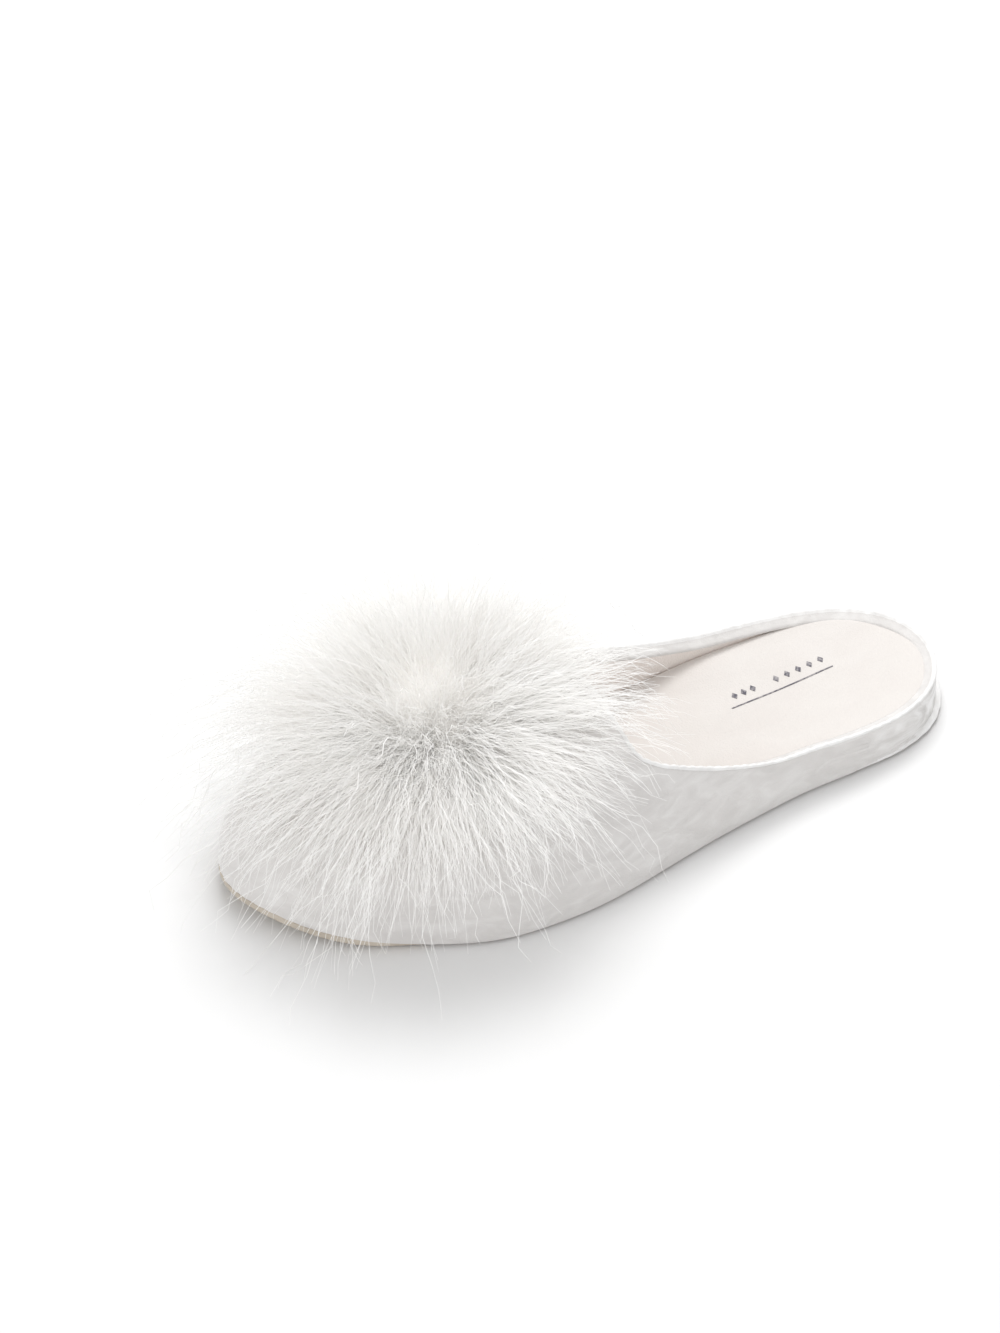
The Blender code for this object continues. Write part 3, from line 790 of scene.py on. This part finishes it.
def stud_tree():
    """Geometry nodes that set a low stud at every point."""
    tree, given = tree_with("tread_studs", ("Stud radius", "Stud height"))
    radius = given["Stud radius"]
    worn = add_node(tree, "ShaderNodeMath", {0: radius, 1: STUD_TAPER}, operation="MULTIPLY")
    sizes = {"Vertices": STUD_SIDES, "Depth": given["Stud height"]}
    sizes.update({"Radius Top": radius, "Radius Bottom": worn.outputs[0]})
    stud = add_node(tree, "GeometryNodeMeshCone", sizes)
    points = add_node(tree, "GeometryNodeMeshToPoints", {"Mesh": given["Geometry"]})
    places = {"Points": points.outputs["Points"], "Instance": stud.outputs["Mesh"]}
    studs = add_node(tree, "GeometryNodeInstanceOnPoints", places)
    finish_tree(tree, given, studs.outputs["Instances"])
    return tree


def tread_studs(rubber):
    """Rows of low studs over the whole tread."""
    half_x = BALL_WIDTH / 2 + STUD_PITCH
    rows = int(SOLE_LENGTH / STUD_PITCH)
    places = []
    for row in range(-rows, rows):
        y = row * STUD_PITCH * math.sqrt(3) / 2
        share = 0.5 - y / SOLE_LENGTH
        if not STUDS_BETWEEN[0] < share < STUDS_BETWEEN[1]:
            continue
        turn = float(angle_at(share))
        outer, inner = outline(np.array([turn, TURN - turn]))[:, 0]
        middle = (outer + inner) / 2
        half = (outer - inner) / 2 * STUDS_INSIDE - STUD_RADIUS
        for x in np.arange(-half_x, half_x, STUD_PITCH) + STUD_PITCH / 2 * (row % 2):
            if abs(x - middle) < half:
                places.append((x, y, float(toe_lift(y))))
    mesh = bpy.data.meshes.new("tread_studs")
    mesh.from_pydata(places, [], [])
    inputs = {"Stud radius": STUD_RADIUS, "Stud height": STUD_HEIGHT, "Finish": rubber}
    return evaluated("tread_studs", mesh, stud_tree(), inputs)


# The puff


# Its middle point, inside the toe, and its reach from there
PUFF_FROM_HEEL = 174 * MM
PUFF_ABOVE_FOOT = 5 * MM
PUFF_REACH = 91 * MM

# Heights between which every strand stays, whatever its waves, and its tip's share of
# its thickness
STRAND_LOWEST = 0.7 * MM
STRAND_HIGHEST = 94.2 * MM
PATH_LOWEST = 1.2 * MM
TIP_SHARE = 0.3

# A point sunk deeper than this behind the throat lies over the opening
OPENING_DEPTH = 12 * MM

# How far roots, growing paths and finished paths are kept off the shoe
ROOT_CLEARANCE = 0.8 * MM
PATH_CLEARANCE = 1.5 * MM
TIP_CLEARANCE = 0.6 * MM


class VampSurface:
    """How far the last's surface lies from the puff's middle, in every direction."""

    turns = 120
    lowest = math.radians(-9)
    elevations = 60

    def __init__(self):
        x = spine(angle_at([PUFF_FROM_HEEL / SOLE_LENGTH]))[0, 0]
        self.middle = np.array([x, SOLE_LENGTH / 2 - PUFF_FROM_HEEL, UPPER_FOOT + PUFF_ABOVE_FOOT])
        angles = round_sole(96)
        rings = [last_point(angles, climb, 0) for climb in np.linspace(0, 1, 25)]
        floor = rings[0].copy()
        floor[:, :2] = spine(angles)
        rings.insert(0, floor)
        tree = BVHTree.FromPolygons(np.vstack(rings).tolist(), ring_faces(len(rings), len(angles)))
        self.table = np.zeros((self.turns, self.elevations))
        for i in range(self.turns):
            for j in range(self.elevations):
                e = self.lowest + (math.pi / 2 - self.lowest) * j / (self.elevations - 1)
                a = TURN * i / self.turns
                ray = Vector((math.cos(e) * math.cos(a), math.cos(e) * math.sin(a), math.sin(e)))
                hit = tree.ray_cast(Vector(self.middle), ray)[0]
                self.table[i, j] = (hit - Vector(self.middle)).length

    def distance(self, turn, elevation):
        u = np.mod(turn, TURN) / TURN * self.turns
        i = u.astype(int) % self.turns
        a = u - np.floor(u)
        v = np.clip((elevation - self.lowest) / (math.pi / 2 - self.lowest), 0, 1) * (self.elevations - 1)
        j = np.minimum(v.astype(int), self.elevations - 2)
        b = v - j
        t = self.table
        k = (i + 1) % self.turns
        low = t[i, j] * (1 - a) + t[k, j] * a
        high = t[i, j + 1] * (1 - a) + t[k, j + 1] * a
        return low * (1 - b) + high * b

    def point(self, turn, elevation, above):
        reach = self.distance(turn, elevation) + above
        flat = np.cos(elevation)
        ray = np.stack([flat * np.cos(turn), flat * np.sin(turn), np.sin(elevation)], axis=-1)
        return self.middle + ray * reach[..., None]

    def keep_clear(self, points, above):
        """Moves points that have sunk into the shoe or the floor back outside."""
        v = points - self.middle
        far = length_of(v)
        turn = np.arctan2(v[..., 1], v[..., 0])
        elevation = np.arcsin(np.clip(v[..., 2] / far, -1, 1))
        reach = self.distance(turn, elevation) + above
        share = np.clip(0.5 - points[..., 1] / SOLE_LENGTH, 0, 1)
        topline = UPPER_FOOT + topline_height(share) + RIM_HEIGHT + above
        forward = share * SOLE_LENGTH > THROAT_FROM_HEEL
        sunk = (far < reach) & ((points[..., 2] < topline) | forward)
        over_opening = sunk & ~forward & (reach - far > OPENING_DEPTH)
        moved = self.middle + v * (reach / far)[..., None]
        points = np.where((sunk & ~over_opening)[..., None], moved, points)
        points[..., 2] = np.where(over_opening, topline, points[..., 2])
        points[..., 2] = np.maximum(points[..., 2], PATH_LOWEST)
        return points


def grow(surface, root, heading, length, droop, steps):
    """Paths of strands that leave their roots along heading and bend down as they go."""
    points = [root]
    for k in range(steps):
        t = (k + 0.5) / steps
        down = np.zeros_like(heading)
        down[..., 2] = -1
        heading = unit(heading + down * (droop * (0.35 + 1.3 * t) / steps)[..., None])
        after = points[-1] + heading * (length / steps)[..., None]
        after = surface.keep_clear(after, PATH_CLEARANCE)
        heading = unit(unit(after - points[-1]) * 0.7 + heading * 0.3)
        points.append(after)
    return np.stack(points, axis=1)


def strand_tree():
    """Geometry nodes that turn lines into thin, wavy, tapered strands."""
    labels = ("Thickness", "Tip share", "Wave height", "Wave scale")
    tree, given = tree_with("feather_strands", labels)

    def value(operation, first, second):
        return add_node(tree, "ShaderNodeMath", {0: first, 1: second}, operation=operation).outputs[0]

    def vector(operation, first, second):
        inputs = {0: first, "Scale" if operation == "SCALE" else 1: second}
        return add_node(tree, "ShaderNodeVectorMath", inputs, operation=operation).outputs["Vector"]

    def attribute(label):
        node = add_node(tree, "GeometryNodeInputNamedAttribute", {"Name": label}, data_type="FLOAT")
        return node.outputs["Attribute"]

    line = add_node(tree, "GeometryNodeMeshToCurve", {"Mesh": given["Geometry"]})
    along = tree.nodes.new("GeometryNodeSplineParameter").outputs["Factor"]
    place = tree.nodes.new("GeometryNodeInputPosition").outputs["Position"]
    inputs = {"Vector": place, "W": attribute("sway"), "Scale": given["Wave scale"], "Detail": 1.0}
    noise = add_node(tree, "ShaderNodeTexNoise", inputs, noise_dimensions="4D")
    waves = vector("SUBTRACT", noise.outputs["Color"], (0.5, 0.5, 0.5))
    reach = value("MULTIPLY", value("POWER", along, 0.9), given["Wave height"])
    moved = vector("ADD", vector("SCALE", waves, reach), place)
    moved = vector("MAXIMUM", moved, (-1.0, -1.0, STRAND_LOWEST))
    moved = vector("MINIMUM", moved, (1.0, 1.0, STRAND_HIGHEST))
    inputs = {"Geometry": line.outputs["Curve"], "Position": moved}
    bent = add_node(tree, "GeometryNodeSetPosition", inputs)
    narrowed = value("SUBTRACT", 1.0, given["Tip share"])
    taper = value("MULTIPLY", value("POWER", along, 1.6), narrowed)
    girth = value("MULTIPLY", given["Thickness"], attribute("girth"))
    width = value("MULTIPLY", value("SUBTRACT", 1.0, taper), girth)
    inputs = {"Resolution": 3, "Radius": 1.0}
    profile = add_node(tree, "GeometryNodeCurvePrimitiveCircle", inputs, mode="RADIUS")
    inputs = {"Curve": bent.outputs["Geometry"], "Profile Curve": profile.outputs["Curve"]}
    inputs.update({"Scale": width, "Fill Caps": True})
    tube = add_node(tree, "GeometryNodeCurveToMesh", inputs)
    # Flat shading: smooth normals on a three-sided strand lose light
    inputs = {"Geometry": tube.outputs["Mesh"], "Shade Smooth": False}
    flat = add_node(tree, "GeometryNodeSetShadeSmooth", inputs)
    finish_tree(tree, given, flat.outputs["Geometry"])
    return tree


def strands(name, tree, paths, girth, sway, inputs):
    """One piece made of many strands, grown along paths of shape (strand, point, 3)."""
    count, points = paths.shape[:2]
    mesh = bpy.data.meshes.new(name)
    mesh.vertices.add(count * points)
    mesh.vertices.foreach_set("co", paths.astype(np.float32).ravel())
    start = (np.arange(count) * points)[:, None] + np.arange(points - 1)
    pairs = np.stack([start, start + 1], axis=-1).reshape(-1, 2)
    mesh.edges.add(len(pairs))
    mesh.edges.foreach_set("vertices", pairs.astype(np.int32).ravel())
    for label, values in (("girth", girth), ("sway", sway)):
        layer = mesh.attributes.new(label, "FLOAT", "POINT")
        layer.data.foreach_set("value", np.repeat(values, points).astype(np.float32))
    piece = evaluated(name, mesh, tree, inputs)
    for label in ("girth", "sway"):
        if label in piece.data.attributes:
            piece.data.attributes.remove(piece.data.attributes[label])
    return piece


def plume_reach(turn, lean):
    """How long the plumes are by direction: short over the opening, long over the toe."""
    toeward = np.clip(-np.sin(turn), 0, 1)
    heelward = np.clip(np.sin(turn), 0, 1)
    outward = np.clip(np.cos(turn), 0, 1)
    return 1 + lean * (0.20 * toeward - 0.04 * heelward**1.5 - 0.10 * outward)


# Roots: their height over the puff's middle, their lift off the vamp and their jitter
ROOT_HEIGHT = 42 * MM
ROOT_LIFT = 1.5 * MM
ROOT_JITTER = 2.5 * MM

# Each plume splits into a few wisps, which lie beside one another
WISPS = 4
WISP_SPREAD = 0.75
SWAY_RANGE = 50

# Over the crown's bend the strands are pressed softly down under its top
CROWN_BEND = 78 * MM
CROWN_TOP = 91 * MM
PULL_FROM = 0.8


def held_in(points, middle):
    """Draws far points softly in, so that no barb reaches past the puff's outline."""
    v = points - middle
    far = length_of(v)
    flat = length_of(v[..., :2]) / far
    toeward = np.clip(-v[..., 1] / far, 0, 1)
    heelward = np.clip(v[..., 1] / far, 0, 1)
    most = PUFF_REACH * (1 + 0.03 * flat + 0.12 * toeward**2 - 0.04 * heelward**2)
    start = PULL_FROM * most
    drawn = start + (most - start) * np.tanh((far - start) / (most - start))
    share = np.where(far > start, drawn / far, 1)
    points = middle + v * share[..., None]
    high = points[..., 2]
    room = CROWN_TOP - CROWN_BEND
    lowered = CROWN_BEND + room * np.tanh((high - CROWN_BEND) / room)
    points[..., 2] = np.where(high > CROWN_BEND, lowered, high)
    return points


def tuft_frame(surface, turn, lean):
    """Root and heading of each plume: lean 0 stands upright, 1 lies flat outwards."""
    heelward = np.clip(np.sin(turn), 0, 1)
    root_reach = (2 + 16 * lean * (1 - 0.2 * heelward)) * MM
    elevation = np.arctan2(ROOT_HEIGHT, root_reach)
    root = surface.point(turn, elevation, ROOT_LIFT)
    tilt = np.radians(84 - 84 * lean + 14 * heelward**2 * lean)
    flat = np.cos(tilt)
    return root, np.stack([flat * np.cos(turn), flat * np.sin(turn), np.sin(tilt)], axis=-1)


def smoothed(paths):
    """Paths without kinks, their ends kept."""
    for _ in range(3):
        paths[:, 1:-1] = (paths[:, :-2] + 2 * paths[:, 1:-1] + paths[:, 2:]) / 4
    return paths


def plumes(surface, rng, layer):
    """Barbs in plumes: each plume fans out from its root and draws together into wisps.

    Returns the barbs' paths and their sway, which is nearly the same within a plume, so
    that its barbs wave together.
    """
    tufts, barbs, steps = layer.plumes, layer.barbs, layer.steps
    number = np.arange(tufts)
    turn = np.mod(number * GOLDEN_ANGLE + rng.normal(0, 0.15, tufts), TURN)
    rank = (number + 0.5) / tufts
    least_lean, most_lean = layer.lean
    leaning = np.sqrt(least_lean**2 + (most_lean**2 - least_lean**2) * rank)
    leaning = np.clip(leaning + rng.normal(0, 0.06, tufts), 0, 1.1)

    def each(values):
        return np.repeat(values, barbs, axis=0)

    total = tufts * barbs
    turn, leaning = each(turn), each(leaning)
    root, middle_heading = tuft_frame(surface, turn, leaning)
    side = np.stack([-np.sin(turn), np.cos(turn), np.zeros(total)], axis=-1)
    middle_heading = unit(middle_heading + side * each(rng.normal(0, 0.2, tufts))[:, None])
    heading = unit(middle_heading + rng.normal(0, layer.spread, (total, 3)))
    root = root + each(rng.normal(0, ROOT_JITTER, (tufts, 3)))
    root = root + rng.normal(0, ROOT_JITTER, (total, 3))
    root = surface.keep_clear(root, ROOT_CLEARANCE)
    shortest, longest = layer.length
    whole = (shortest + (longest - shortest) * leaning**1.2) * MM
    whole = whole * plume_reach(turn, leaning) * each(rng.uniform(0.82, 1.12, tufts))
    own = whole * (layer.least + (1.05 - layer.least) * rng.uniform(0, 1, total) ** 0.8)
    lightest, heaviest = layer.droop
    weight = lightest + (heaviest - lightest) * leaning**2
    weight = weight * each(rng.uniform(0.7, 1.3, tufts)) * (1 - 0.7 * np.clip(np.sin(turn), 0, 1))
    paths = grow(surface, root, heading, own, weight * rng.uniform(0.5, 1.5, total), steps)
    middle = grow(surface, root, middle_heading, own, weight, steps)
    wisp = rng.integers(0, WISPS, total) + WISPS * each(number)
    apart = rng.normal(0, 1, (tufts * WISPS, 3))[wisp] * layer.spread * own[:, None]
    t = np.linspace(0, 1, steps + 1)[None, :, None]
    middle = middle + apart[:, None, :] * t * WISP_SPREAD
    pull = layer.gather * np.minimum(1, 1.7 * t) * each(rng.uniform(0.5, 1.0, tufts))[:, None, None]
    paths = held_in(smoothed(paths + (middle - paths) * pull), surface.middle)
    sway = rng.uniform(0, SWAY_RANGE, tufts * WISPS)[wisp]
    sway = sway + rng.normal(0, 1, total) * (1 - layer.gather) ** 2 * 3
    return surface.keep_clear(paths, TIP_CLEARANCE), sway


# The down pad: its crown's height over the vamp, the hollow in its crown, its underside's
# height, and its grid
PAD_CROWN = 14.5 * MM
PAD_HOLLOW = 4 * MM
PAD_FOOT = 0.9 * MM
PAD_COLUMNS = 96
PAD_RINGS = 30


def down_pad(surface, down):
    """The dense down in the middle of the puff, a lumpy dome on the vamp."""
    outer = []
    inner = []
    turn = TURN * np.arange(PAD_COLUMNS) / PAD_COLUMNS
    lengthwise = np.sin(turn)
    low = np.where(lengthwise > 0, 48 + 18 * lengthwise**2, 46)
    low = np.radians(low + 3 * np.sin(turn * 7) + 2 * np.sin(turn * 11 + 2))
    for k in range(1, PAD_RINGS + 1):
        q = k / PAD_RINGS
        elevation = math.pi / 2 - q * (math.pi / 2 - low)
        height = (1.6 + 17 * (1 - q**2) ** 1.4) * MM
        hollow = PAD_HOLLOW * math.exp(-((q / 0.16) ** 2))
        lumps = 1.1 * np.sin(turn * 9 + 3 * q) * np.sin(q * 17) + 0.8 * np.sin(turn * 17 - 11 * q)
        lumps = lumps + 0.6 * np.sin(turn * 31 + 23 * q)
        lumps = lumps * MM * min(1, q * 3) * (1 - q**2)
        outer.append(surface.point(turn, elevation, height - hollow + lumps))
        inner.append(surface.point(turn, elevation, PAD_FOOT))
    upright = np.full(PAD_COLUMNS, math.pi / 2)
    crown, foot = (surface.point(upright * 0, upright, above) for above in (PAD_CROWN, PAD_FOOT))
    rings = [crown] + outer + inner[::-1] + [foot]
    return sewn_mesh("down_pad", np.vstack(rings), ring_faces(len(rings), PAD_COLUMNS), [down])


# Lengths, thickness and wave height are in millimetres, least is the shortest barb's share
Layer = namedtuple(
    "Layer", "name plumes barbs lean length droop spread gather steps least thickness wave scale"
)
LAYERS = (
    Layer("down_fluff", 150, 38, (0.0, 0.60), (14, 32), (0.1, 0.6), 0.36, 0.1, 5, 0.5, 0.10, 14, 60),
    Layer("down_skirt", 150, 34, (0.48, 0.98), (30, 54), (0.3, 1.0), 0.32, 0.2, 6, 0.4, 0.10, 16, 60),
    Layer("plume_crown", 64, 66, (0.0, 0.58), (28, 54), (0.1, 0.6), 0.28, 0.3, 6, 0.5, 0.11, 16, 52),
    Layer("plume_middle", 90, 42, (0.46, 0.86), (46, 70), (0.2, 0.9), 0.26, 0.5, 7, 0.45, 0.12, 18, 52),
    Layer("plume_lower", 56, 17, (0.76, 1.0), (50, 73), (0.4, 1.4), 0.30, 0.6, 10, 0.45, 0.17, 24, 60),
    Layer("plume_strays", 68, 9, (0.10, 1.0), (56, 84), (0.2, 1.4), 0.36, 0.4, 12, 0.6, 0.16, 22, 60),
)
SEED = 11


def feather_puff():
    """All pieces of the puff."""
    surface = VampSurface()
    down = two_tone("soft_down", FEATHER, (0.94, 0.925, 0.91), (0.98, 0.97, 0.955))
    barb = two_tone("feather_barb", FEATHER, (0.965, 0.955, 0.94), (0.99, 0.985, 0.975))
    tree = strand_tree()
    pieces = [down_pad(surface, down)]
    rng = np.random.default_rng(SEED)
    for layer in LAYERS:
        paths, sway = plumes(surface, rng, layer)
        girth = rng.uniform(0.7, 1.3, len(paths))
        inputs = {
            "Thickness": layer.thickness * MM,
            "Tip share": TIP_SHARE,
            "Wave height": layer.wave * MM,
            "Wave scale": float(layer.scale),
            "Finish": barb,
        }
        pieces.append(strands(layer.name, tree, paths, girth, sway, inputs))
    for piece in pieces:
        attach(piece, "root")
        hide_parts("feather_pompom")


# The set


WORLD_STRENGTH = 0.66
FLOOR_WHITE = 0.85
FLOOR_HALF = 6.0

# Lights: name, place, target, size in metres and power in watts
LIGHTS = (
    ("key", (-0.68, 0.39, 1.62), (0, 0, 0), 0.9, 20),
    ("fill", (0.9, -1.3, 0.9), (0, 0, 0.02), 1.4, 6),
)


def camera():
    az, el = VIEW_AZIMUTH, VIEW_ELEVATION
    back = Vector((math.sin(az) * math.cos(el), -math.cos(az) * math.cos(el), math.sin(el)))
    right = Vector((math.cos(az), math.sin(az), 0))
    up = back.cross(right)
    data = bpy.data.cameras.new("camera")
    data.sensor_width = SENSOR
    data.lens = SENSOR * FOCAL_PIXELS / PHOTO_HEIGHT
    data.clip_end = 20
    view = placed("camera", data)
    view.location = VIEW_TARGET + back * VIEW_DISTANCE - right * VIEW_RIGHT + up * VIEW_UP
    view.rotation_euler = back.to_track_quat("Z", "Y").to_euler()
    bpy.context.scene.camera = view


def area_light(name, place, target, size, power):
    data = bpy.data.lights.new(name, "AREA")
    data.shape = "SQUARE"
    data.size = size
    data.energy = power
    light = placed(name, data)
    light.location = place
    light.rotation_euler = (Vector(place) - Vector(target)).to_track_quat("Z", "Y").to_euler()


def studio():
    scene = bpy.context.scene
    scene.view_settings.view_transform = "Standard"
    scene.cycles.max_bounces = 20
    scene.cycles.diffuse_bounces = 10
    world = bpy.data.worlds.new("studio_white")
    world.use_nodes = True
    sky = world.node_tree.nodes["Background"]
    sky.inputs["Color"].default_value = (1, 1, 1, 1)
    sky.inputs["Strength"].default_value = WORLD_STRENGTH
    scene.world = world
    mesh = bpy.data.meshes.new("studio_floor")
    corners = [(x * FLOOR_HALF, y * FLOOR_HALF, 0) for x, y in ((-1, -1), (1, -1), (1, 1), (-1, 1))]
    mesh.from_pydata(corners, [], [(0, 1, 2, 3)])
    made, _, _ = finish("floor_white", (FLOOR_WHITE,) * 3, 0.9, specular=0.1)
    mesh.materials.append(made)
    floor = placed("studio_floor", mesh)
    for light in LIGHTS:
        area_light(*light)


def main():
    camera()
    studio()
    velvet = crushed_velvet()
    # A lighter copy of the rim's velvet: painted highlight on the rim's crest and on the hem round the
    # heel
    crest = two_tone("rim_crest_painted_highlight", VELVET, (0.84, 0.83, 0.82), (0.98, 0.98, 0.975))
    band = two_tone("rim_band_velvet", VELVET, (0.72, 0.70, 0.685), (0.82, 0.805, 0.79))
    lining = two_tone("lining_velour", VELOUR, (0.92, 0.865, 0.825), (0.95, 0.90, 0.865))
    upper = velvet_upper(velvet, lining, crest)
    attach(upper, "root")
    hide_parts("upper")
    rim = topline_rim(crest, band)
    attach(rim, "root")
    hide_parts("topline_binding")
    bed = footbed(two_tone("footbed_velour", VELOUR, (0.74, 0.70, 0.67), (0.765, 0.73, 0.70)))
    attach(bed, "root")
    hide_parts("insole")
    mark = footbed_mark(two_tone("print_ink", INK, (0.10, 0.095, 0.12), (0.38, 0.36, 0.37)))
    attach(mark, "root")
    rubber = two_tone("tread_rubber", RUBBER, (0.52, 0.46, 0.385), (0.64, 0.575, 0.49))
    # A darker copy of the tread rubber: painted shade on the sole's side under the hem
    shaded = two_tone("tread_side_painted_shade", RUBBER, (0.24, 0.21, 0.19), (0.32, 0.285, 0.26))
    for piece in (tread_sole(rubber, shaded), tread_studs(rubber)):
        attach(piece, "root")
        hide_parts("outsole")
    feather_puff()


main()
